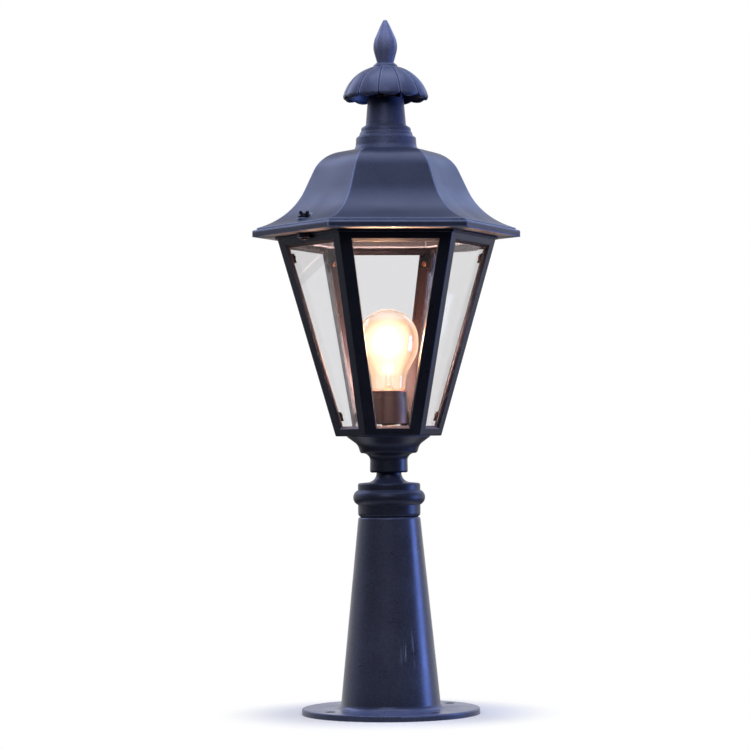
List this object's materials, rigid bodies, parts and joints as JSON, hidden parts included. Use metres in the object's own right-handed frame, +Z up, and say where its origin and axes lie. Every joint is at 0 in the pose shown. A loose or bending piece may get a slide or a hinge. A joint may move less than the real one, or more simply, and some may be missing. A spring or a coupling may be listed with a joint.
{
  "type": "outdoor pedestal lamp",
  "caption": "Six-sided glass lantern with a hinged bell roof, petal vent cap and bud finial, on a short tapered round post with a bolt-down flange.",
  "frame": {"origin": "middle of the flange's underside, on the post's axis", "axes": "+Z up along the post's axis; the front pane faces -Y; the roof's corners lie on +X and -X"},
  "size_m": [0.269, 0.233, 0.6935],
  "materials": {
    "dark_casting": "satin",
    "clear_glass": "gloss",
    "zinc_steel": "satin",
    "dark_screw": "satin",
    "holder_moulding": "satin",
    "brass": "polished",
    "black_lead": "satin",
    "white_lead": "satin",
    "green_lead": "satin",
    "connector_plastic": "satin",
    "bulb_base_metal": "satin",
    "black_glass": "gloss",
    "solder": "satin",
    "filament": "satin"
  },
  "bodies": {
    "lantern": {"pedestal": "dark_casting", "pedestal_collar": "dark_casting", "fitter_cup": "dark_casting", "lantern_cage": "dark_casting", "pane_front": "clear_glass", "pane_front_right": "clear_glass", "pane_back_right": "clear_glass", "pane_back": "clear_glass", "pane_back_left": "clear_glass", "pane_front_left": "clear_glass", "pane_clips": "zinc_steel", "pane_clip_screws": "zinc_steel", "stem_nipple": "zinc_steel", "stem_washer_lower": "zinc_steel", "stem_nut_lower": "zinc_steel", "stem_washer_upper": "zinc_steel", "stem_nut_upper": "zinc_steel", "socket_bracket": "zinc_steel", "socket_screws": "zinc_steel", "ground_screw": "zinc_steel", "hinge_pin": "zinc_steel", "socket_body": "holder_moulding", "socket_shell": "brass", "socket_contact": "brass", "lead_hot": "black_lead", "lead_neutral": "white_lead", "lead_ground": "green_lead", "wire_connectors": "connector_plastic"},
    "roof": {"roof_shell": "dark_casting", "roof_neck": "dark_casting", "vent_cap": "dark_casting", "finial": "dark_casting", "tie_rod": "zinc_steel", "tie_rod_bar": "zinc_steel", "tie_rod_washer": "zinc_steel", "tie_rod_nut": "zinc_steel"},
    "thumb_washer": {"thumb_screw_washer": "dark_screw"},
    "thumb_screw": {"thumb_screw": "dark_screw"},
    "bulb": {"bulb_glass": "clear_glass", "bulb_base": "bulb_base_metal", "bulb_insulator": "black_glass", "bulb_tip": "solder", "bulb_stem": "clear_glass", "bulb_filament": "filament"}
  },
  "joints": [
    {"name": "roof_hinge", "type": "hinge", "parent": "lantern", "child": "roof", "pos_m": [0.08894, 0.05135, 0.47076], "axis": [-0.5, 0.866, 0], "range_deg": [0, 105]},
    {"name": "thumb_screw_lift", "type": "slide", "parent": "roof", "child": "thumb_washer", "axis": [0, 0, 1], "range_m": [0, 0.00667]},
    {"name": "thumb_screw_turn", "type": "hinge", "parent": "thumb_washer", "child": "thumb_screw", "pos_m": [-0.08574, -0.0495, 0.4934], "axis": [0, 0, 1], "range_deg": [0, 1891]},
    {"name": "bulb_turn", "type": "hinge", "parent": "lantern", "child": "bulb", "pos_m": [0, 0, 0.31], "axis": [0, 0, 1], "range_deg": [0, 1170]}
  ],
  "couplings": [
    {"joint": "thumb_screw_turn", "follows": "thumb_screw_lift", "rad_per_m": 4947.4}
  ]
}
